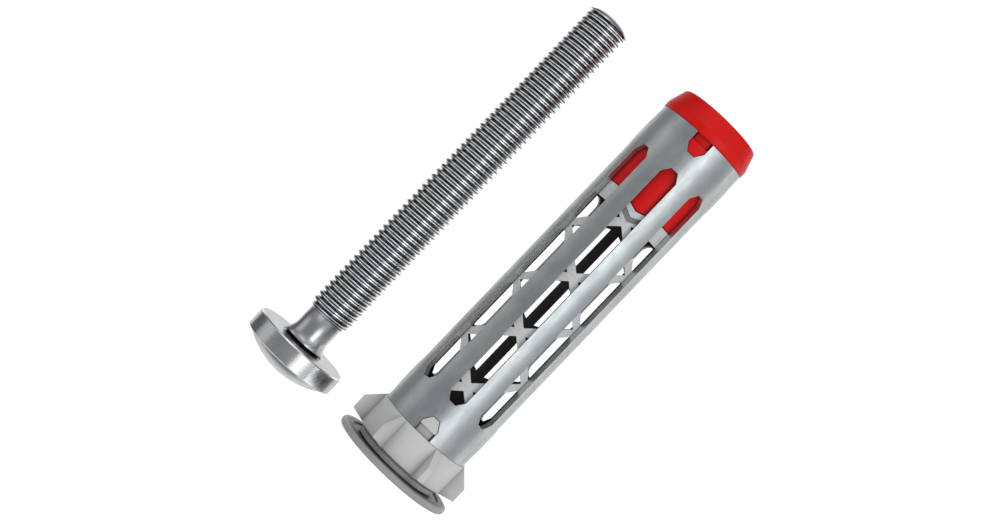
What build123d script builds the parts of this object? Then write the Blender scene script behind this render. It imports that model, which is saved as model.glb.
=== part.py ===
from build123d import *
import os
from math import cos, radians, sin

os.makedirs("parts", exist_ok=True)

# A wall anchor laid out beside its bolt. Millimetres. X runs along the anchor, from the flange's
# outer face at X = 0 to the tip. Both axes are level, and Z is up. Angles round an axis are in
# degrees, counted from straight up (+Z) towards +Y.

# Slotted steel sleeve
SLEEVE_R = 13.0
SLEEVE_WALL = 1.5
SLEEVE_START = 12.6
SLEEVE_END = 111.3
WINDOW_COUNT = 8
WINDOW_START = 23.2
WINDOW_END = 100.5
WINDOW_WIDTH = 5.1
POINT_FLAT = 2.1  # width left at the end of a window or notch
POINT_LENGTH = 2.2  # length over which a window or notch narrows to that flat
NOTCH_COUNT = 4
NOTCH_DEPTH = 5.35

# Lattice cage inside the sleeve
CAGE_R = 11.3
CAGE_WALL = 1.0
CAGE_START = 18.4
CAGE_END = 88.8
NODE_START = 28.35  # first crossing of the struts
NODE_PITCH = 18.35
NODE_COUNT = 4
NODE_HALF = 1.3  # half the length of a crossing along X
DIAMOND_ANGLE = 52.0  # where a front diamond ends, each side
STRUT_SLOPE = 0.155  # millimetres along X for each degree round the cage
SIDE_START = 9.0  # a side opening runs between these angles
SIDE_END = 135.0
SIDE_FRONT_VIEW = 45.0  # its front and back halves are cut from these two angles
SIDE_BACK_VIEW = 110.0
SIDE_SEAM = 88.0  # and meet here
SIDE_SEAM_LAP = 2.0
SIDE_HALF = 7.2
SIDE_CORNER_R = 2.5
SPINE_HALF = 1.35
# Half outline of a back opening beside the spine: (half length along X, distance from the spine's middle)
BACK_OUTLINE = ((6.4, SPINE_HALF), (5.5, 3.4), (1.5, 7.7), (0.7, 8.6))
CAGE_RING_TOP = 20.6
CAGE_RING_LOW = 84.2
CHEVRON_GAP = 0.3  # from the last crossing to the V-shaped slot over it
CHEVRON_WIDTH = 1.5
CHEVRON_HALF = 4.2
CHEVRON_RISE = 2.0
CHEVRON_DEPTH = 0.5
TAB_ROOM = 0.45  # sideways room for the cap's tabs in the cage's end

# Snap tongues, which fill the notches of the sleeve
TONGUE_GAP = 0.15
TONGUE_R = 12.85
TONGUE_NECK_R = 12.1
TONGUE_NECK_WIDTH = 4.1
TONGUE_PAD = 3.1  # length of the raised pad at the tongue's end
TONGUE_ROOT_DEPTH = 1.0  # how deep a tongue is rooted below the spigot's skin
SPIGOT_R = 11.38
FACE_GAP = 0.05  # between faces of two pieces that touch
LAP = 0.5  # by how much joined shapes run into each other

# Collar and flange
COLLAR_R = 13.15
COLLAR_START = 3.15
COLLAR_BORE_R = 6.5
COLLAR_SPIGOT_END = 15.2
COLLAR_SPIGOT_WALL = 1.5
SHOULDER_R = 12.1
SHOULDER_GAP = 0.1  # from the flange to the collar's shoulder
EDGE_BEVEL = (0.8, 1.05)  # length and height of the bevel on the collar's outer edge
NECK_R = 10.6
FIN_ANGLES = (26, 90, 154, 206, 270, 334)
FIN_R = 17.05
FIN_HALF = 0.9
FIN_ROOT = 1.0  # how deep a fin is rooted in the collar
FIN_RAMP = 4.15  # length over which a fin rises from the sleeve's end
FIN_DROP = (0.2, 1.3)  # where it falls again, counted from the collar's start
FLANGE_R = 17.2
FLANGE_THICK = 1.7
FLANGE_ROUND = 0.7
RELIEF_R = 14.4  # a shallow relief round the neck, inside the flange's seat on the wall
RELIEF_DEPTH = 0.4

# Tip cap and the nut that it holds
TIP_END = 118.2
TIP_END_R = 11.5
TIP_END_ROUND = 0.9
TIP_EDGE = (0.55, 0.2)  # length and height of the bevel next to the sleeve
TIP_BAND_END = 113.3  # a straight band leads up to the taper
TIP_BORE_R = 10.1
SKIRT_START = 89.1
TAB_REACH = 1.8  # how far each pointed tab reaches past the skirt's end
TAB_SHOULDER = 0.9
TAB_EXTRA = 0.2  # how much wider than a window each tab is, at each side
NUT_FLATS = 18.0
NUT_ROOM = 0.05
NUT_BEVEL = 0.8
NUT_HEIGHT = 10.8
NUT_START = 103.6
NUT_BORE_R = 5.15

# Bolt: a threaded stud with a mushroom head that turns on its end
BOLT_Y = 37.4
BOLT_END = 118.8
THREAD_R = 6.0
THREAD_ROOT_R = 4.95
THREAD_PITCH = 1.75
THREAD_START = 15.2
END_CHAMFER = 2.4
END_ROUND = (0.5, 1.3)  # length and height of the last step down to the flat end
END_FLAT_R = 3.3
RUN_OUT = 0.2  # from the neck to the first thread
STUD_NECK_R = 4.8
FLARE_R = 5.9
FLARE_START = 7.0
FOOT_R = 5.3
FLARE_END = 9.7
PIVOT_R = 4.0
PIVOT_END = 1.6
HEAD_R = 13.25
HEAD_TOP = 6.4
HEAD_LOW = 1.1
HEAD_DOME = 3.8
HEAD_BEVEL = 0.35
DOME_BEVEL = (0.4, 1.0)
HEAD_BORE_R = 4.06
BORE_FLOOR = 1.3
SEAT_RECESS_R = 6.15  # a shallow recess round the stud's foot
SEAT_RECESS_DEPTH = 0.3
RING_START = 3.3
RING_WIDTH = 0.8
RING_ROOM = 0.1
RING_IN_R = 3.4
RING_OUT_R = 4.8
RING_SPLIT = 1.2
BOLT_Z = HEAD_R - FLANGE_R  # head and flange lie on the same surface


def radial_plane(angle, x=0.0):
    """A plane on the anchor's axis at x that faces outwards at the angle, with its own X along the axis."""
    return Plane((x, 0, 0), x_dir=(1, 0, 0), z_dir=(0, sin(radians(angle)), cos(radians(angle))))


def on_cage(angle):
    """The sideways distance of a point on the cage, at this angle from the direction of the cut."""
    return CAGE_R * sin(radians(angle))


def pointed_end(x_open, x_point, width, flat):
    """The outline of a notch or tongue that narrows to a flat at x_point."""
    shoulder = x_point - POINT_LENGTH if x_point > x_open else x_point + POINT_LENGTH
    half = width / 2
    return [
        (x_open, -half),
        (shoulder, -half),
        (x_point, -flat / 2),
        (x_point, flat / 2),
        (shoulder, half),
        (x_open, half),
    ]


def every(count):
    return [360 / count * i for i in range(count)]


# ---- perforated sleeve: a steel tube with eight long windows and four notches at each end
notches = [
    pointed_end(SLEEVE_START - 1, SLEEVE_START + NOTCH_DEPTH, WINDOW_WIDTH, POINT_FLAT),
    pointed_end(SLEEVE_END + 1, SLEEVE_END - NOTCH_DEPTH, WINDOW_WIDTH, POINT_FLAT),
]
window_mid = (WINDOW_START + WINDOW_END) / 2
half_window = [
    pointed_end(window_mid, WINDOW_START, WINDOW_WIDTH, POINT_FLAT),
    pointed_end(window_mid, WINDOW_END, WINDOW_WIDTH, POINT_FLAT),
]
with BuildPart() as sleeve:
    with BuildSketch(Plane.YZ.offset(SLEEVE_START)):
        Circle(SLEEVE_R)
        Circle(SLEEVE_R - SLEEVE_WALL, mode=Mode.SUBTRACT)
    extrude(amount=SLEEVE_END - SLEEVE_START)
    for angle in every(WINDOW_COUNT):
        with BuildSketch(radial_plane(angle)):
            for outline in half_window:
                Polygon(*outline, align=None)
        extrude(amount=SLEEVE_R + 1, mode=Mode.SUBTRACT)
    for angle in every(NOTCH_COUNT):
        with BuildSketch(radial_plane(angle)):
            for outline in notches:
                Polygon(*outline, align=None)
        extrude(amount=SLEEVE_R + 1, mode=Mode.SUBTRACT)
sleeve.part.label = "perforated_sleeve"
export_step(sleeve.part, "parts/perforated_sleeve.step")


# ---- lattice cage: crossed struts at the front and sides, and the same at the back with a spine
node_places = [NODE_START + NODE_PITCH * i for i in range(NODE_COUNT)]
gap_places = [place + NODE_PITCH / 2 for place in node_places[:-1]]
diamond_half = NODE_PITCH / 2 - NODE_HALF
low_apex = NODE_START - NODE_HALF
low_half = on_cage((low_apex - CAGE_RING_TOP) / STRUT_SLOPE)
chevron = node_places[-1] + CHEVRON_GAP
chevron_top = chevron + CHEVRON_RISE


def side_outline(x, up, down):
    """The front half of a side opening: a point beside the crossing at x that widens both ways."""
    seam = on_cage(SIDE_SEAM - SIDE_FRONT_VIEW)
    return [
        (x, on_cage(SIDE_START - SIDE_FRONT_VIEW)),
        (x + up, on_cage(SIDE_START + up / STRUT_SLOPE - SIDE_FRONT_VIEW)),
        (x + up, seam),
        (x - down, seam),
        (x - down, on_cage(SIDE_START + down / STRUT_SLOPE - SIDE_FRONT_VIEW)),
    ]


with BuildPart() as chevron_groove:
    with BuildSketch(radial_plane(0)):
        Polygon(
            (chevron, 0),
            (chevron_top, CHEVRON_HALF),
            (chevron_top + CHEVRON_WIDTH, CHEVRON_HALF),
            (chevron + CHEVRON_WIDTH, 0),
            (chevron_top + CHEVRON_WIDTH, -CHEVRON_HALF),
            (chevron_top, -CHEVRON_HALF),
            align=None,
        )
    extrude(amount=SLEEVE_R)
    with BuildSketch(Plane.YZ.offset(CAGE_START)):
        Circle(CAGE_R - CHEVRON_DEPTH)
    extrude(amount=CAGE_END - CAGE_START, mode=Mode.SUBTRACT)

with BuildPart() as cage:
    with BuildSketch(Plane.YZ.offset(CAGE_START)):
        Circle(CAGE_R)
        Circle(CAGE_R - CAGE_WALL, mode=Mode.SUBTRACT)
    extrude(amount=CAGE_END - CAGE_START)
    with BuildSketch(radial_plane(0)):
        wide = on_cage(DIAMOND_ANGLE)
        for place in gap_places:
            Polygon(
                (place - diamond_half, 0),
                (place, -wide),
                (place + diamond_half, 0),
                (place, wide),
                align=None,
            )
        Polygon((low_apex, 0), (CAGE_RING_TOP, -low_half), (CAGE_RING_TOP, low_half), align=None)
    extrude(amount=SLEEVE_R, mode=Mode.SUBTRACT)
    add(chevron_groove.part, mode=Mode.SUBTRACT)
    for side in (1, -1):
        for place in node_places:
            up = min(SIDE_HALF, CAGE_RING_LOW - place)
            down = min(SIDE_HALF, place - CAGE_RING_TOP)
            with BuildSketch(radial_plane(SIDE_FRONT_VIEW * side)):
                Polygon(*[(x, v * side) for x, v in side_outline(place, up, down)], align=None)
            extrude(amount=SLEEVE_R, mode=Mode.SUBTRACT)
            with BuildSketch(radial_plane(SIDE_BACK_VIEW * side)) as back_half:
                rear = on_cage(SIDE_END - SIDE_BACK_VIEW) * side
                front = on_cage(SIDE_SEAM - SIDE_SEAM_LAP - SIDE_BACK_VIEW) * side
                low, high = place - down, place + up
                Polygon((low, front), (high, front), (high, rear), (low, rear), align=None)
                fillet(back_half.vertices().group_by(Axis.Y)[-1 if side == 1 else 0], SIDE_CORNER_R)
            extrude(amount=SLEEVE_R, mode=Mode.SUBTRACT)
    with BuildSketch(radial_plane(180)):
        for place in gap_places:
            for side in (1, -1):
                upper = [(place + half, out * side) for half, out in BACK_OUTLINE]
                lower = [(place - half, out * side) for half, out in reversed(BACK_OUTLINE)]
                Polygon(*upper, *lower, align=None)
    extrude(amount=SLEEVE_R, mode=Mode.SUBTRACT)
    for angle in every(NOTCH_COUNT):
        tab_half = WINDOW_WIDTH / 2 + TAB_ROOM
        with BuildSketch(radial_plane(angle)):
            Polygon(
                (CAGE_END + 1, -tab_half),
                (CAGE_END - TAB_SHOULDER, -tab_half),
                (CAGE_END - TAB_REACH, 0),
                (CAGE_END - TAB_SHOULDER, tab_half),
                (CAGE_END + 1, tab_half),
                align=None,
            )
        extrude(amount=SLEEVE_R, mode=Mode.SUBTRACT)
cage.part.label = "lattice_cage"
export_step(cage.part, "parts/lattice_cage.step")


def tongues(root, point):
    """Four snap tongues: a narrow neck from root, and a raised pad that fills a notch up to point."""
    way = 1 if point > root else -1
    tip = point - way * TONGUE_GAP
    pad_start = tip - way * TONGUE_PAD
    low, high = min(root, tip), max(root, tip)
    width = WINDOW_WIDTH - 2 * TONGUE_GAP
    with BuildPart() as pads:
        for angle in every(NOTCH_COUNT):
            with BuildSketch(radial_plane(angle)):
                Polygon(*pointed_end(pad_start, tip, width, POINT_FLAT - TONGUE_GAP), align=None)
            extrude(amount=SLEEVE_R + 1)
        with BuildSketch(Plane.YZ.offset(low)):
            Circle(TONGUE_R)
            Circle(SPIGOT_R - TONGUE_ROOT_DEPTH, mode=Mode.SUBTRACT)
        extrude(amount=high - low, mode=Mode.INTERSECT)
    with BuildPart() as necks:
        for angle in every(NOTCH_COUNT):
            with BuildSketch(radial_plane(angle, (root + pad_start) / 2)):
                Rectangle(abs(root - pad_start) + 2 * LAP, TONGUE_NECK_WIDTH)
            extrude(amount=SLEEVE_R + 1)
        with BuildSketch(Plane.YZ.offset(low - LAP)):
            Circle(TONGUE_NECK_R)
            Circle(SPIGOT_R - TONGUE_ROOT_DEPTH, mode=Mode.SUBTRACT)
        extrude(amount=high - low + 2 * LAP, mode=Mode.INTERSECT)
    return [pads.part, necks.part]


# ---- collar: the plastic end piece that the flange sits on, with six fins that grip the wall
collar_tongues = tongues(SLEEVE_START, SLEEVE_START + NOTCH_DEPTH)
spigot_end = SLEEVE_START + NOTCH_DEPTH - 2 * TONGUE_GAP
bevel_length, bevel_height = EDGE_BEVEL
bevel_start = COLLAR_START - bevel_length / 4
collar_end = SLEEVE_START - FACE_GAP
with BuildPart() as collar:
    with BuildSketch(Plane.XY) as collar_profile:
        with BuildLine():
            Polyline(
                (0, COLLAR_BORE_R),
                (0, NECK_R),
                (FLANGE_THICK + SHOULDER_GAP, NECK_R),
                (FLANGE_THICK + SHOULDER_GAP, SHOULDER_R),
                (bevel_start, SHOULDER_R),
                (bevel_start + bevel_length, SHOULDER_R + bevel_height),
                (collar_end, COLLAR_R),
                (collar_end, SPIGOT_R),
                (COLLAR_SPIGOT_END, SPIGOT_R),
                (COLLAR_SPIGOT_END, COLLAR_BORE_R),
                close=True,
            )
        make_face()
    revolve(axis=Axis.X)
    fin_foot, fin_top = FIN_DROP
    for angle in FIN_ANGLES:
        with BuildSketch(radial_plane(angle + 90)):
            Polygon(
                (collar_end - FACE_GAP, COLLAR_R - FIN_ROOT),
                (collar_end - FACE_GAP, COLLAR_R),
                (SLEEVE_START - FIN_RAMP, FIN_R),
                (COLLAR_START + fin_top, FIN_R),
                (COLLAR_START + fin_foot, COLLAR_R - fin_foot),
                (COLLAR_START + bevel_length, COLLAR_R - FIN_ROOT),
                align=None,
            )
        extrude(amount=FIN_HALF, both=True)
    with BuildSketch(Plane.YZ.offset(COLLAR_SPIGOT_END)):
        Circle(SPIGOT_R)
        Circle(SPIGOT_R - COLLAR_SPIGOT_WALL, mode=Mode.SUBTRACT)
    extrude(amount=spigot_end - COLLAR_SPIGOT_END)
    add(collar_tongues)
collar.part.label = "collar"
export_step(collar.part, "parts/collar.step")

# ---- flange ring: the round lip that stops the anchor at the face of the wall
with BuildPart() as flange:
    with BuildSketch(Plane.YZ):
        Circle(FLANGE_R)
        Circle(NECK_R + FACE_GAP, mode=Mode.SUBTRACT)
    extrude(amount=FLANGE_THICK)
    fillet(flange.edges().filter_by(GeomType.CIRCLE).group_by(SortBy.RADIUS)[-1], FLANGE_ROUND)
    with BuildSketch(Plane.YZ.offset(FLANGE_THICK)):
        Circle(RELIEF_R)
    extrude(amount=-RELIEF_DEPTH, mode=Mode.SUBTRACT)
flange.part.label = "flange_ring"
export_step(flange.part, "parts/flange_ring.step")

# ---- tip cap: a closed plastic nose with a skirt inside the sleeve and a pocket for the nut
cap_tongues = tongues(SLEEVE_END, SLEEVE_END - NOTCH_DEPTH)
with BuildPart() as skirt_tabs:
    for angle in every(NOTCH_COUNT):
        with BuildSketch(radial_plane(angle)):
            tab_half = WINDOW_WIDTH / 2 + TAB_EXTRA
            Polygon(
                (SKIRT_START + LAP, -tab_half),
                (SKIRT_START - TAB_SHOULDER, -tab_half),
                (SKIRT_START - TAB_REACH, 0),
                (SKIRT_START - TAB_SHOULDER, tab_half),
                (SKIRT_START + LAP, tab_half),
                align=None,
            )
        extrude(amount=SLEEVE_R)
    with BuildSketch(Plane.YZ.offset(SKIRT_START - TAB_REACH)):
        Circle(SPIGOT_R)
        Circle(TIP_BORE_R, mode=Mode.SUBTRACT)
    extrude(amount=TAB_REACH + LAP, mode=Mode.INTERSECT)
cap_start = SLEEVE_END + FACE_GAP
edge_length, edge_height = TIP_EDGE
with BuildPart() as tip:
    with BuildSketch(Plane.XY) as tip_profile:
        with BuildLine():
            Polyline(
                (SKIRT_START, TIP_BORE_R),
                (SKIRT_START, SPIGOT_R),
                (cap_start, SPIGOT_R),
                (cap_start, SLEEVE_R - edge_height),
                (cap_start + edge_length, SLEEVE_R),
                (TIP_BAND_END, SLEEVE_R),
                (TIP_END, TIP_END_R),
                (TIP_END, 0),
                (NUT_START, 0),
                (NUT_START, TIP_BORE_R),
                close=True,
            )
        make_face()
        fillet(tip_profile.vertices().group_by(Axis.X)[-1].sort_by(Axis.Y)[-1], TIP_END_ROUND)
    revolve(axis=Axis.X)
    with BuildSketch(Plane.YZ.offset(NUT_START - 1)):
        RegularPolygon(NUT_FLATS / 2 + NUT_ROOM, 6, major_radius=False)
    extrude(amount=NUT_HEIGHT + 1 + NUT_ROOM, mode=Mode.SUBTRACT)
    add(cap_tongues)
    add(skirt_tabs.part)
tip.part.label = "tip_cap"
export_step(tip.part, "parts/tip_cap.step")

# ---- nut insert: the steel nut that the bolt screws into
with BuildPart() as nut:
    with BuildSketch(Plane.YZ.offset(NUT_START)):
        RegularPolygon(NUT_FLATS / 2, 6, major_radius=False)
        Circle(NUT_BORE_R, mode=Mode.SUBTRACT)
    extrude(amount=NUT_HEIGHT)
    chamfer(nut.edges().filter_by(GeomType.CIRCLE), NUT_BEVEL)
nut.part.label = "nut_insert"
export_step(nut.part, "parts/nut_insert.step")

# ---- bolt, along its own axis beside the anchor
bolt_plane = Plane((0, BOLT_Y, BOLT_Z), x_dir=(1, 0, 0), z_dir=(0, 0, 1))
bolt_axis = Axis((0, BOLT_Y, BOLT_Z), (1, 0, 0))
thread_end = BOLT_END - END_CHAMFER
round_length, round_height = END_ROUND
ring_groove = (RING_START - RING_ROOM, RING_START + RING_WIDTH + RING_ROOM)
recess_floor = HEAD_TOP - SEAT_RECESS_DEPTH
crest = THREAD_PITCH / 8
flank = THREAD_PITCH * 5 / 16
thread_points = []
for turn in range(int((thread_end - THREAD_START) / THREAD_PITCH)):
    start = THREAD_START + turn * THREAD_PITCH
    thread_points += [
        (start, THREAD_ROOT_R),
        (start + flank, THREAD_R),
        (start + flank + crest, THREAD_R),
        (start + 2 * flank + crest, THREAD_ROOT_R),
    ]

with BuildPart() as stud:
    with BuildSketch(bolt_plane):
        with BuildLine():
            Polyline(
                (PIVOT_END, 0),
                (PIVOT_END, PIVOT_R),
                (ring_groove[0], PIVOT_R),
                (ring_groove[0], RING_IN_R - RING_ROOM),
                (ring_groove[1], RING_IN_R - RING_ROOM),
                (ring_groove[1], PIVOT_R),
                (recess_floor + FACE_GAP, PIVOT_R),
                (recess_floor + FACE_GAP, FOOT_R),
                (FLARE_START, FOOT_R),
                (FLARE_START, FLARE_R),
                (FLARE_END, STUD_NECK_R),
                (THREAD_START - RUN_OUT, STUD_NECK_R),
                *thread_points,
                (thread_end, THREAD_ROOT_R),
                (thread_end, THREAD_R - RUN_OUT),
                (BOLT_END - round_length, END_FLAT_R + round_height),
                (BOLT_END, END_FLAT_R),
                (BOLT_END, 0),
                close=True,
            )
        make_face()
    revolve(axis=bolt_axis)
stud.part.label = "threaded_stud"
export_step(stud.part, "parts/threaded_stud.step")

# ---- mushroom head: a disc with a domed face, bored from behind for the stud's pivot
with BuildPart() as head:
    with BuildSketch(bolt_plane) as head_profile:
        with BuildLine():
            bevel_length, bevel_height = DOME_BEVEL
            dome_edge = HEAD_R - bevel_height
            Polyline(
                (HEAD_LOW - HEAD_DOME, 0),
                (BORE_FLOOR, 0),
                (BORE_FLOOR, HEAD_BORE_R),
                (ring_groove[0], HEAD_BORE_R),
                (ring_groove[0], RING_OUT_R + RING_ROOM),
                (ring_groove[1], RING_OUT_R + RING_ROOM),
                (ring_groove[1], HEAD_BORE_R),
                (recess_floor, HEAD_BORE_R),
                (recess_floor, SEAT_RECESS_R),
                (HEAD_TOP, SEAT_RECESS_R),
                (HEAD_TOP, HEAD_R - HEAD_BEVEL),
                (HEAD_TOP - HEAD_BEVEL, HEAD_R),
                (HEAD_LOW + bevel_length, HEAD_R),
                (HEAD_LOW, dome_edge),
            )
            dome_r = (dome_edge**2 + HEAD_DOME**2) / (2 * HEAD_DOME)
            RadiusArc((HEAD_LOW, dome_edge), (HEAD_LOW - HEAD_DOME, 0), -dome_r)
        make_face()
    revolve(axis=bolt_axis)
head.part.label = "mushroom_head"
export_step(head.part, "parts/mushroom_head.step")

# ---- retaining ring: the split spring ring that keeps the head on the stud
with BuildPart() as ring:
    with BuildSketch(Plane((RING_START, BOLT_Y, BOLT_Z), x_dir=(0, 1, 0), z_dir=(1, 0, 0))):
        Circle(RING_OUT_R)
        Circle(RING_IN_R, mode=Mode.SUBTRACT)
        with Locations((RING_OUT_R, 0)):
            Rectangle(RING_OUT_R, RING_SPLIT, mode=Mode.SUBTRACT)
    extrude(amount=RING_WIDTH)
ring.part.label = "retaining_ring"
export_step(ring.part, "parts/retaining_ring.step")
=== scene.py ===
import math

import bmesh
import bpy
from mathutils import Matrix, Vector


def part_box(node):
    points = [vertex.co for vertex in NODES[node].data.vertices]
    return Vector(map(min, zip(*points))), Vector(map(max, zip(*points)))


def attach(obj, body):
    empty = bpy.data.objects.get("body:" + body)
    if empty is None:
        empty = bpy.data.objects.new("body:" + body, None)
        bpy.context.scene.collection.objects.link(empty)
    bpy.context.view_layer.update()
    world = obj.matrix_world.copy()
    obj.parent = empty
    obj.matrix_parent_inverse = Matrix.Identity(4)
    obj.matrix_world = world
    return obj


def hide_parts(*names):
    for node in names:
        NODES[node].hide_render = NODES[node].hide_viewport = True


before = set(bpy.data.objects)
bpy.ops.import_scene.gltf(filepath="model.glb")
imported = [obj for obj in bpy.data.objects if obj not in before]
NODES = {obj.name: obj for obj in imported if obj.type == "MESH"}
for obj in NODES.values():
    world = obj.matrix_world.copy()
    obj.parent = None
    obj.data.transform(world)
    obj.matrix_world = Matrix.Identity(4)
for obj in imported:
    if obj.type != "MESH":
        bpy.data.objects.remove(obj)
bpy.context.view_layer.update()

MM = 0.001

# Places and sizes that come from the frame
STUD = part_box("threaded_stud")
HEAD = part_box("mushroom_head")
SLEEVE_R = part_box("perforated_sleeve")[1].z
FLANGE_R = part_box("flange_ring")[1].z
HEAD_R = (HEAD[1].z - HEAD[0].z) / 2
CAGE_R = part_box("lattice_cage")[1].z
STUD_R = (STUD[1].z - STUD[0].z) / 2
STUD_Y = (STUD[0].y + STUD[1].y) / 2
STUD_Z = (STUD[0].z + STUD[1].z) / 2

THREAD_PITCH = 1.75 * MM
THREAD_START = 15.2 * MM
THREAD_ROOT_R = 4.95 * MM
END_DOME = 1.6 * MM  # height of the domed end
END_DOME_R = 5.45 * MM
FLARE_START = 7.0 * MM


# ---------------------------------------------------------------- shader helpers

def new_material(name):
    """A Principled material: returns the material, its tree and the shader node."""
    mat = bpy.data.materials.new(name)
    mat.use_nodes = True
    tree = mat.node_tree
    tree.nodes.clear()
    out = tree.nodes.new("ShaderNodeOutputMaterial")
    bsdf = tree.nodes.new("ShaderNodeBsdfPrincipled")
    tree.links.new(bsdf.outputs["BSDF"], out.inputs["Surface"])
    return mat, tree, bsdf


def coords(tree, scale=(1, 1, 1), turn=(0, 0, 0)):
    """Object coordinates, which are metres in the row frame, scaled for a texture."""
    source = tree.nodes.new("ShaderNodeTexCoord")
    mapping = tree.nodes.new("ShaderNodeMapping")
    mapping.inputs["Scale"].default_value = scale
    mapping.inputs["Rotation"].default_value = turn
    tree.links.new(source.outputs["Object"], mapping.inputs["Vector"])
    return mapping.outputs["Vector"]


def noise(tree, scale, detail=3.0, rough=0.5, stretch=(1, 1, 1)):
    """Noise with so many features to the metre."""
    node = tree.nodes.new("ShaderNodeTexNoise")
    node.inputs["Scale"].default_value = scale
    node.inputs["Detail"].default_value = detail
    node.inputs["Roughness"].default_value = rough
    tree.links.new(coords(tree, stretch), node.inputs["Vector"])
    return node.outputs["Fac"]


def spread(tree, value, low, high, start=0.3, stop=0.7):
    """value from start to stop becomes low to high."""
    node = tree.nodes.new("ShaderNodeMapRange")
    node.inputs["From Min"].default_value = start
    node.inputs["From Max"].default_value = stop
    node.inputs["To Min"].default_value = low
    node.inputs["To Max"].default_value = high
    tree.links.new(value, node.inputs["Value"])
    return node.outputs["Result"]


def blend_colours(tree, factor, first, second, mode="MIX"):
    """A colour mix. Each colour is a tuple or a socket."""
    node = tree.nodes.new("ShaderNodeMix")
    node.data_type = "RGBA"
    node.blend_type = mode
    if isinstance(factor, (int, float)):
        node.inputs["Factor"].default_value = factor
    else:
        tree.links.new(factor, node.inputs["Factor"])
    for socket, colour in ((node.inputs["A"], first), (node.inputs["B"], second)):
        target = [s for s in node.inputs if s.type == "RGBA" and s.name == socket.name][0]
        if isinstance(colour, tuple):
            target.default_value = (*colour, 1.0)
        else:
            tree.links.new(colour, target)
    return [s for s in node.outputs if s.type == "RGBA"][0]


def maths(tree, operation, first, second=0.0):
    """A sum on numbers or sockets."""
    node = tree.nodes.new("ShaderNodeMath")
    node.operation = operation
    for socket, value in zip(node.inputs, (first, second)):
        if isinstance(value, (int, float)):
            socket.default_value = value
        else:
            tree.links.new(value, socket)
    return node.outputs[0]


def position(tree):
    """The shaded point's X, Y and Z in metres, as three sockets."""
    source = tree.nodes.new("ShaderNodeTexCoord")
    parts = tree.nodes.new("ShaderNodeSeparateXYZ")
    tree.links.new(source.outputs["Object"], parts.inputs["Vector"])
    return parts.outputs


def axis_distance(tree, y=0.0, z=0.0):
    """The distance of the shaded point from an axis along X, in metres."""
    place = position(tree)
    dy = maths(tree, "SUBTRACT", place["Y"], y)
    dz = maths(tree, "SUBTRACT", place["Z"], z)
    squares = maths(tree, "ADD", maths(tree, "MULTIPLY", dy, dy), maths(tree, "MULTIPLY", dz, dz))
    return maths(tree, "SQRT", squares)


def cut_faces(tree):
    """1 on a face cut through the tube's wall, square to its outside, and 0 elsewhere."""
    geometry = tree.nodes.new("ShaderNodeNewGeometry")
    flat = tree.nodes.new("ShaderNodeVectorMath")
    flat.operation = "MULTIPLY"
    flat.inputs[1].default_value = (0, 1, 1)
    tree.links.new(geometry.outputs["Position"], flat.inputs[0])
    radial = tree.nodes.new("ShaderNodeVectorMath")
    radial.operation = "NORMALIZE"
    tree.links.new(flat.outputs["Vector"], radial.inputs[0])
    dot = tree.nodes.new("ShaderNodeVectorMath")
    dot.operation = "DOT_PRODUCT"
    tree.links.new(radial.outputs["Vector"], dot.inputs[0])
    tree.links.new(geometry.outputs["True Normal"], dot.inputs[1])
    return spread(tree, maths(tree, "ABSOLUTE", dot.outputs["Value"]), 1, 0, 0.3, 0.7)


def bump(tree, bsdf, height, strength, distance, edge=0.12 * MM):
    """Surface relief from height, over edges that catch the light as if they had a radius of edge."""
    node = tree.nodes.new("ShaderNodeBump")
    rounded = tree.nodes.new("ShaderNodeBevel")
    rounded.samples = 6
    rounded.inputs["Radius"].default_value = edge
    tree.links.new(rounded.outputs["Normal"], node.inputs["Normal"])
    node.inputs["Strength"].default_value = strength
    node.inputs["Distance"].default_value = distance
    tree.links.new(height, node.inputs["Height"])
    tree.links.new(node.outputs["Normal"], bsdf.inputs["Normal"])


def shade_corners(tree, colour, reach, depth):
    """colour with painted shade: darkened in corners that reach metres of open air don't light."""
    node = tree.nodes.new("ShaderNodeAmbientOcclusion")
    node.samples = 8
    node.inputs["Distance"].default_value = reach
    shade = spread(tree, node.outputs["AO"], depth, 1.0, 0.3, 0.95)
    return blend_colours(tree, 1.0, colour, shade, "MULTIPLY")


# ---------------------------------------------------------------- materials

def zinc_sheet():
    """Zinc-plated sheet: faint spangle and cloudy patches outside, and painted shade that colours the
    wall's inner face dark.
    """
    mat, tree, bsdf = new_material("zinc_sheet")
    bsdf.inputs["Metallic"].default_value = 1.0
    clouds = noise(tree, 110, 4, 0.55)
    grain = noise(tree, 900, 3, 0.6, (0.25, 1, 1))
    cells = tree.nodes.new("ShaderNodeTexVoronoi")
    cells.inputs["Scale"].default_value = 420
    tree.links.new(coords(tree), cells.inputs["Vector"])
    drift = spread(tree, clouds, 0, 1, 0.35, 0.65)
    light = blend_colours(tree, drift, (0.50, 0.53, 0.54), (0.62, 0.65, 0.66))
    spangle = spread(tree, cells.outputs["Color"], 0.0, 0.22, 0.0, 1.0)
    spotted = blend_colours(tree, spangle, light, (0.44, 0.47, 0.48))
    # painted shade: the wall's inner face is coloured near black
    painted_interior_shade = spread(tree, axis_distance(tree), 1, 0, SLEEVE_R - 1.3 * MM, SLEEVE_R - 0.3 * MM)
    interior_shaded = blend_colours(tree, painted_interior_shade, spotted, (0.05, 0.05, 0.055))
    finished = blend_colours(tree, cut_faces(tree), interior_shaded, (0.60, 0.61, 0.62))
    tree.links.new(finished, bsdf.inputs["Base Color"])
    tree.links.new(spread(tree, grain, 0.34, 0.46), bsdf.inputs["Roughness"])
    ripple = maths(tree, "ADD", noise(tree, 330, 3, 0.6), maths(tree, "MULTIPLY", grain, 0.15))
    bump(tree, bsdf, ripple, 0.06, 0.05 * MM)
    return mat


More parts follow.
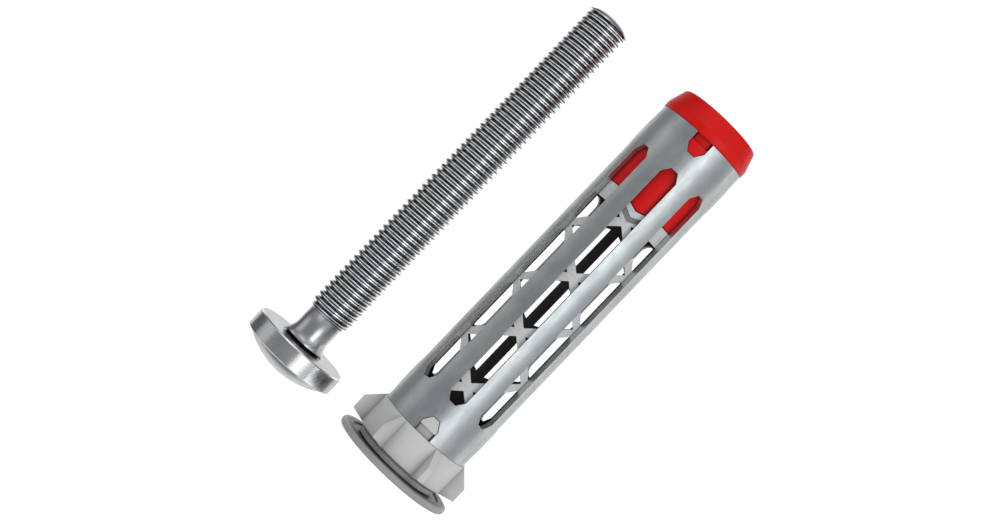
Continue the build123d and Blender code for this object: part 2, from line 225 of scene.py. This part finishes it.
def cage_plastic():
    """Grey moulded plastic with painted shade that colours its inner face near black."""
    mat, tree, bsdf = new_material("cage_plastic")
    speckle = noise(tree, 1400, 3, 0.6)
    base = blend_colours(tree, spread(tree, speckle, 0, 1), (0.72, 0.72, 0.73), (0.84, 0.84, 0.85))
    # painted shade: the cage's inner face is coloured near black
    painted_interior_shade = spread(tree, axis_distance(tree), 1, 0, CAGE_R - 0.6 * MM, CAGE_R - 0.35 * MM)
    tree.links.new(blend_colours(tree, painted_interior_shade, base, (0.022, 0.021, 0.023)), bsdf.inputs["Base Color"])
    tree.links.new(spread(tree, speckle, 0.42, 0.55), bsdf.inputs["Roughness"])
    bump(tree, bsdf, speckle, 0.1, 0.03 * MM)
    return mat


def moulded(name, dark, light, rough=(0.38, 0.5), grain=0.12, shine=0.5):
    """Moulded plastic: a fine pebbled skin with a slow drift of tone, and painted shade that darkens its
    corners.
    """
    mat, tree, bsdf = new_material(name)
    bsdf.inputs["Specular IOR Level"].default_value = shine
    drift = noise(tree, 90, 2, 0.5)
    pebble = noise(tree, 2600, 2, 0.5)
    base = blend_colours(tree, spread(tree, drift, 0, 1), dark, light)
    # painted shade: ambient occlusion darkens the colour in corners
    tree.links.new(shade_corners(tree, base, 4 * MM, 0.45), bsdf.inputs["Base Color"])
    tree.links.new(spread(tree, pebble, *rough), bsdf.inputs["Roughness"])
    bump(tree, bsdf, pebble, grain, 0.02 * MM)
    return mat


def flange_plastic():
    """The flange's darker plastic: a lighter rounded rim, and painted shade that darkens the inner face
    within it.
    """
    mat, tree, bsdf = new_material("flange_plastic")
    pebble = noise(tree, 2600, 2, 0.5)
    drift = noise(tree, 90, 2, 0.5)
    rim = spread(tree, axis_distance(tree), 0, 1, FLANGE_R - 1.7 * MM, FLANGE_R - 0.5 * MM)
    seat = spread(tree, position(tree)["X"], 0, 1, 0.3 * MM, 1.0 * MM)
    # painted shade: the inner face near the collar is coloured darker
    painted_dish_shade = maths(tree, "MULTIPLY", seat, maths(tree, "SUBTRACT", 1.0, rim))
    base = blend_colours(tree, spread(tree, drift, 0, 1), (0.43, 0.42, 0.41), (0.49, 0.48, 0.47))
    tree.links.new(blend_colours(tree, painted_dish_shade, base, (0.15, 0.142, 0.138)), bsdf.inputs["Base Color"])
    tree.links.new(spread(tree, pebble, 0.38, 0.50), bsdf.inputs["Roughness"])
    bump(tree, bsdf, pebble, 0.10, 0.02 * MM, 0.25 * MM)
    return mat


def bright_zinc(name, tone=(0.66, 0.67, 0.69), rough=(0.16, 0.26), edge_tone=1.0):
    """Turned and zinc-plated steel: fine lathe lines round the axis, a little cloudiness."""
    mat, tree, bsdf = new_material(name)
    bsdf.inputs["Metallic"].default_value = 1.0
    bsdf.inputs["Specular Tint"].default_value = (edge_tone, edge_tone, edge_tone, 1.0)
    clouds = noise(tree, 160, 4, 0.55)
    lines = noise(tree, 5200, 2, 0.5, (1, 0.02, 0.02))
    dark = tuple(0.84 * c for c in tone)
    tree.links.new(blend_colours(tree, spread(tree, clouds, 0, 1), dark, tone), bsdf.inputs["Base Color"])
    tree.links.new(spread(tree, clouds, *rough), bsdf.inputs["Roughness"])
    bump(tree, bsdf, lines, 0.10, 0.01 * MM)
    return mat


def head_zinc():
    """The head's turned steel, with a painted highlight: the two bevels round its rim are coloured white.
    """
    mat = bright_zinc("head_zinc", (0.68, 0.69, 0.705), (0.20, 0.30), 0.78)
    tree = mat.node_tree
    bsdf = tree.nodes["Principled BSDF"]
    turned = bsdf.inputs["Base Color"].links[0].from_socket
    geometry = tree.nodes.new("ShaderNodeNewGeometry")
    parts = tree.nodes.new("ShaderNodeSeparateXYZ")
    tree.links.new(geometry.outputs["True Normal"], parts.inputs["Vector"])
    slope = maths(tree, "ABSOLUTE", parts.outputs["X"])
    off_side = spread(tree, slope, 0, 1, 0.2, 0.3)
    off_faces = spread(tree, slope, 1, 0, 0.85, 0.9)
    bevelled = maths(tree, "MULTIPLY", off_side, off_faces)
    radius = axis_distance(tree, STUD_Y, STUD_Z)
    at_rim = spread(tree, radius, 0, 1, HEAD_R - 0.6 * MM, HEAD_R - 0.5 * MM)
    # painted highlight: the rim's bevels get a white base colour
    edge = maths(tree, "MULTIPLY", bevelled, at_rim)
    tree.links.new(blend_colours(tree, edge, turned, (1.0, 1.0, 1.0)), bsdf.inputs["Base Color"])
    streaks = noise(tree, 420, 3, 0.6, (0.12, 1, 1))
    tree.links.new(spread(tree, streaks, 0.17, 0.34), bsdf.inputs["Roughness"])
    return mat


def thread_phase(tree):
    """Where the point lies across its turn of the thread: 0 and 1 are roots, 0.5 the crest's seam."""
    place = position(tree)
    sideways = maths(tree, "SUBTRACT", STUD_Y, place["Y"])
    upward = maths(tree, "SUBTRACT", place["Z"], STUD_Z)
    turned = maths(tree, "DIVIDE", maths(tree, "ARCTAN2", sideways, upward), 2 * math.pi)
    along = maths(tree, "DIVIDE", maths(tree, "SUBTRACT", place["X"], THREAD_START), THREAD_PITCH)
    return maths(tree, "FLOORED_MODULO", maths(tree, "SUBTRACT", along, turned), 1.0)


def thread_zinc():
    """The stud's zinc: painted highlights on the crests over painted shade in the roots and seam, a turned
    neck, a duller domed end and a painted near-black shadow under the flare.
    """
    mat, tree, bsdf = new_material("stud_zinc")
    bsdf.inputs["Metallic"].default_value = 1.0
    clouds = noise(tree, 160, 4, 0.55)
    along = position(tree)["X"]
    from_seam = maths(tree, "ABSOLUTE", maths(tree, "SUBTRACT", thread_phase(tree), 0.5))
    outside_seam = spread(tree, from_seam, 0, 1, 0.07, 0.12)
    outside_root = spread(tree, from_seam, 1, 0, 0.31, 0.36)
    # painted highlight on the crests and painted shade in the roots and seam, following the helix
    crest_highlight_mask = maths(tree, "MULTIPLY", outside_seam, outside_root)
    highlit_and_shaded_thread = blend_colours(tree, crest_highlight_mask, (0.08, 0.084, 0.095), (0.96, 0.98, 1.0))
    neck = spread(tree, along, 1, 0, THREAD_START - 0.1 * MM, THREAD_START + 0.3 * MM)
    end = spread(tree, along, 0, 1, STUD[1].x - END_DOME - 0.05 * MM, STUD[1].x - END_DOME)
    turned = blend_colours(tree, neck, highlit_and_shaded_thread, (0.60, 0.61, 0.63))
    turned = blend_colours(tree, end, turned, (0.36, 0.37, 0.385))
    # painted shade: below the flare the stud is coloured near black
    painted_foot_shade = spread(tree, along, 1, 0, FLARE_START + 0.08 * MM, FLARE_START + 0.12 * MM)
    finished = blend_colours(tree, painted_foot_shade, turned, (0.008, 0.008, 0.009))
    tree.links.new(finished, bsdf.inputs["Base Color"])
    plain = maths(tree, "MULTIPLY", maths(tree, "MAXIMUM", neck, end), 0.05)
    tree.links.new(maths(tree, "ADD", spread(tree, clouds, 0.20, 0.30), plain), bsdf.inputs["Roughness"])
    return mat


# ---------------------------------------------------------------- geometry

def mesh_object(name, vertices, faces, material):
    """A mesh with one material, linked to the scene."""
    mesh = bpy.data.meshes.new(name)
    mesh.from_pydata(vertices, [], faces)
    mesh.update()
    obj = bpy.data.objects.new(name, mesh)
    bpy.context.scene.collection.objects.link(obj)
    obj.data.materials.append(material)
    return obj


def tidy_mesh(obj, sharp_degrees):
    """Merges doubled points, drops flat faces and sets which edges look sharp."""
    work = bmesh.new()
    work.from_mesh(obj.data)
    bmesh.ops.remove_doubles(work, verts=work.verts, dist=1e-7)
    bmesh.ops.dissolve_degenerate(work, edges=work.edges, dist=1e-7)
    bmesh.ops.recalc_face_normals(work, faces=work.faces)
    work.to_mesh(obj.data)
    work.free()
    for face in obj.data.polygons:
        face.use_smooth = True
    obj.data.set_sharp_from_angle(angle=math.radians(sharp_degrees))


AROUND = 72
RUN_IN = 0.8 * THREAD_PITCH  # over which the thread rises from the neck
SHARP_ANGLE = 55  # degrees, above the bends within a turn of the thread
DOME_STEPS = 8
# A rolled thread: each crest is a pair of rounded ridges with a seam between them.
# Each point is its share of the pitch and its radius.
THREAD_PROFILE = (
    (0.00, THREAD_ROOT_R),
    (0.08, THREAD_ROOT_R),
    (0.19, STUD_R - 0.22 * MM),
    (0.26, STUD_R - 0.04 * MM),
    (0.34, STUD_R),
    (0.42, STUD_R - 0.08 * MM),
    (0.58, STUD_R - 0.08 * MM),
    (0.66, STUD_R),
    (0.74, STUD_R - 0.04 * MM),
    (0.81, STUD_R - 0.22 * MM),
    (0.92, THREAD_ROOT_R),
)


def helical_stud(material):
    """The stud with a real helix: rows of points that follow it, from a turned neck to the end."""
    thread_end = STUD[1].x - END_DOME
    turns = int((thread_end - THREAD_START) / THREAD_PITCH) + 3  # the last ones are clamped to the end
    neck_r = 4.8 * MM
    flare_r = 5.9 * MM
    foot_r = 5.3 * MM
    pivot_r = 4.0 * MM
    lathe = [
        (STUD[0].x, 0.0),
        (STUD[0].x, pivot_r),
        (HEAD[1].x - 0.25 * MM, pivot_r),
        (HEAD[1].x - 0.25 * MM, foot_r),
        (FLARE_START, foot_r),
        (FLARE_START, flare_r - 0.1 * MM),
        (FLARE_START + 0.1 * MM, flare_r),
        (FLARE_START + 0.22 * MM, flare_r),
        # a soft sweep from the flare down to the neck
        (FLARE_START + 0.9 * MM, 5.50 * MM),
        (FLARE_START + 1.6 * MM, 5.16 * MM),
        (FLARE_START + 2.3 * MM, 4.91 * MM),
        (FLARE_START + 2.9 * MM, neck_r),
        (THREAD_START - 0.2 * MM, neck_r),
        (THREAD_START, THREAD_ROOT_R),
    ]
    rows = [[(x, r)] * AROUND for x, r in lathe]
    for turn in range(-1, turns):
        for share, radius in THREAD_PROFILE:
            step = share * THREAD_PITCH
            row = []
            for i in range(AROUND):
                x = THREAD_START + (turn + i / AROUND) * THREAD_PITCH + step
                run_in = min(1.0, max(0.0, (x - THREAD_START) / RUN_IN))
                x = min(max(x, THREAD_START), thread_end)
                row.append((x, THREAD_ROOT_R + (radius - THREAD_ROOT_R) * run_in))
            rows.append(row)
    last_turn = len(rows) - 1
    for step in range(DOME_STEPS + 1):
        rise = step / DOME_STEPS
        rows.append([(thread_end + rise * END_DOME, END_DOME_R * math.sqrt(1 - rise**2))] * AROUND)
    vertices = []
    for row in rows:
        for i, (x, r) in enumerate(row):
            a = 2 * math.pi * i / AROUND
            vertices.append((x, STUD_Y - r * math.sin(a), STUD_Z + r * math.cos(a)))
    helix_start = len(lathe)
    faces = []
    for j in range(len(rows) - 1):
        for i in range(AROUND):
            k = (i + 1) % AROUND
            # round a helix, a row ends where the row one turn on begins
            lift = len(THREAD_PROFILE) if k == 0 and helix_start <= j < last_turn else 0
            low, high = j, j + 1
            if lift:
                low, high = min(low + lift, last_turn), min(high + lift, last_turn)
            faces.append((j * AROUND + i, low * AROUND + k, high * AROUND + k, (j + 1) * AROUND + i))
    obj = mesh_object("stud_thread", vertices, faces, material)
    tidy_mesh(obj, SHARP_ANGLE)
    return obj


# ---------------------------------------------------------------- build

finishes = {
    "perforated_sleeve": zinc_sheet(),
    "lattice_cage": cage_plastic(),
    "collar": moulded("collar_plastic", (0.76, 0.75, 0.74), (0.84, 0.83, 0.82)),
    "flange_ring": flange_plastic(),
    "tip_cap": moulded(
        "cap_plastic",
        dark=(0.86, 0.004, 0.004),
        light=(0.96, 0.008, 0.006),
        rough=(0.40, 0.50),
        grain=0.06,
        shine=0.25,
    ),
    "nut_insert": bright_zinc("nut_zinc", (0.55, 0.56, 0.57), (0.25, 0.35)),
    "mushroom_head": head_zinc(),
    "retaining_ring": bright_zinc("ring_zinc", (0.5, 0.5, 0.5)),
}
for node, material in finishes.items():
    slots = NODES[node].data.materials
    slots.clear()
    slots.append(material)

stud = helical_stud(thread_zinc())
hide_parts("threaded_stud")
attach(stud, "stud")


# ---------------------------------------------------------------- stage, light and camera

CAMERA_HEIGHT = 409 * MM
CAMERA_X = 63.3 * MM
VIEW_WIDTH = 248.1 * MM  # what the picture's width covers at the anchor's axis
TILT = math.radians(46.23)  # the anchor's slope in the picture
SHIFT = (-0.0675, 0.021)
SENSOR_WIDTH = 36  # millimetres, as Blender wants it
BACKDROP_DEPTH = 0.6  # metres, so far below that the metal's sides don't mirror its bright middle
GLOW_R = 0.52
FADE_R = 0.75
GLOW_SQUEEZE = 0.8  # the glow is longer along X by one over this
BACKDROP_SIDE = 4.0  # half the backdrop's width


def area(name, angle, distance, width, length, power, lean=0.0):
    """A soft light along the anchor. angle is counted round the anchor from straight up towards +Y."""
    data = bpy.data.lights.new(name, "AREA")
    data.shape = "RECTANGLE"
    data.size, data.size_y = length, width
    data.energy = power
    light = bpy.data.objects.new(name, data)
    bpy.context.scene.collection.objects.link(light)
    a = math.radians(angle)
    away = Vector((lean, math.sin(a), math.cos(a))).normalized()
    light.location = Vector((CAMERA_X, 0.4 * STUD_Y, 0)) + away * distance
    # the light's long side (its local X) runs along the anchor
    along = (Vector((1, 0, 0)) - away * away.x).normalized()
    light.rotation_mode = "QUATERNION"
    light.rotation_quaternion = Matrix((along, away.cross(along), away)).transposed().to_quaternion()
    return light


def shine_only_on(light, pieces):
    """The bolt was lit on its own, with a second panel beside it."""
    group = bpy.data.collections.new(light.name + "_receivers")
    for piece in pieces:
        group.objects.link(piece)
    light.light_linking.receiver_collection = group


def studio_world():
    """A grey room: dull overhead, lighter towards the sides and ends, dark below and dimmer towards +Y."""
    world = bpy.data.worlds.new("studio")
    bpy.context.scene.world = world
    world.use_nodes = True
    tree = world.node_tree
    source = tree.nodes.new("ShaderNodeTexCoord")
    parts = tree.nodes.new("ShaderNodeSeparateXYZ")
    tree.links.new(source.outputs["Generated"], parts.inputs["Vector"])
    ramp = tree.nodes.new("ShaderNodeValToRGB")
    height = tree.nodes.new("ShaderNodeMapRange")
    height.inputs["From Min"].default_value = -1
    tree.links.new(parts.outputs["Z"], height.inputs["Value"])
    tree.links.new(height.outputs["Result"], ramp.inputs["Fac"])
    # height, from straight down to straight up, and brightness
    stops = [(0.0, 0.10), (0.40, 0.14), (0.52, 0.42), (0.80, 0.46), (0.93, 0.33), (1.0, 0.30)]
    first, last = ramp.color_ramp.elements
    first.position, last.position = stops[0][0], stops[-1][0]
    for place, _ in stops[1:-1]:
        ramp.color_ramp.elements.new(place)
    for element, (place, level) in zip(ramp.color_ramp.elements, stops):
        element.position = place
        element.color = (level * 0.97, level, level * 1.02, 1)
    dimmer = spread(tree, parts.outputs["Y"], 1.0, 0.65, 0.1, 0.8)
    sided = blend_colours(tree, 1.0, ramp.outputs["Color"], dimmer, "MULTIPLY")
    ends = spread(tree, maths(tree, "ABSOLUTE", parts.outputs["X"]), 0, 1, 0.55, 0.85)
    lit = blend_colours(tree, ends, sided, (0.52, 0.535, 0.55))
    tree.links.new(lit, tree.nodes["Background"].inputs["Color"])


def backdrop():
    """A white glow under the object that fades to grey outside the picture."""
    mat = bpy.data.materials.new("backdrop_glow")
    mat.use_nodes = True
    tree = mat.node_tree
    tree.nodes.clear()
    out = tree.nodes.new("ShaderNodeOutputMaterial")
    glow = tree.nodes.new("ShaderNodeEmission")
    tree.links.new(glow.outputs["Emission"], out.inputs["Surface"])
    source = tree.nodes.new("ShaderNodeTexCoord")
    squeezed = tree.nodes.new("ShaderNodeMapping")
    squeezed.inputs["Scale"].default_value = (GLOW_SQUEEZE, 1, 1)
    tree.links.new(source.outputs["Object"], squeezed.inputs["Vector"])
    far = tree.nodes.new("ShaderNodeVectorMath")
    far.operation = "DISTANCE"
    tree.links.new(squeezed.outputs["Vector"], far.inputs[0])
    far.inputs[1].default_value = (GLOW_SQUEEZE * CAMERA_X, 0, -BACKDROP_DEPTH)
    level = spread(tree, far.outputs["Value"], 1.05, 0.14, GLOW_R, FADE_R)
    tree.links.new(level, glow.inputs["Strength"])
    half = BACKDROP_SIDE
    corners = [(-half, -half), (half, -half), (half, half), (-half, half)]
    points = [(x, y, -BACKDROP_DEPTH) for x, y in corners]
    floor = mesh_object("backdrop", points, [(0, 1, 2, 3)], mat)


area("key", angle=-30, distance=0.5, width=0.24, length=0.5, power=0.66)
bolt_side = area("bolt_side", angle=-80, distance=0.5, width=0.30, length=0.5, power=0.75)
area("rim", angle=-112, distance=0.5, width=0.22, length=0.5, power=0.38)
area("fill", angle=75, distance=0.6, width=0.35, length=0.5, power=0.22)
area("end_tip", angle=30, distance=0.5, width=0.3, length=0.3, power=0.25, lean=1.6)
area("end_flange", angle=30, distance=0.5, width=0.3, length=0.3, power=0.25, lean=-1.6)
shine_only_on(bolt_side, [stud, NODES["mushroom_head"], NODES["retaining_ring"]])
studio_world()
backdrop()

camera_data = bpy.data.cameras.new("camera")
camera_data.sensor_width = SENSOR_WIDTH
camera_data.lens = SENSOR_WIDTH * CAMERA_HEIGHT / VIEW_WIDTH
camera_data.shift_x, camera_data.shift_y = SHIFT
camera = bpy.data.objects.new("camera", camera_data)
bpy.context.scene.collection.objects.link(camera)
camera.location = (CAMERA_X, 0, CAMERA_HEIGHT)
camera.rotation_euler = (0, 0, -TILT)
bpy.context.scene.camera = camera
bpy.context.scene.view_settings.view_transform = "Standard"
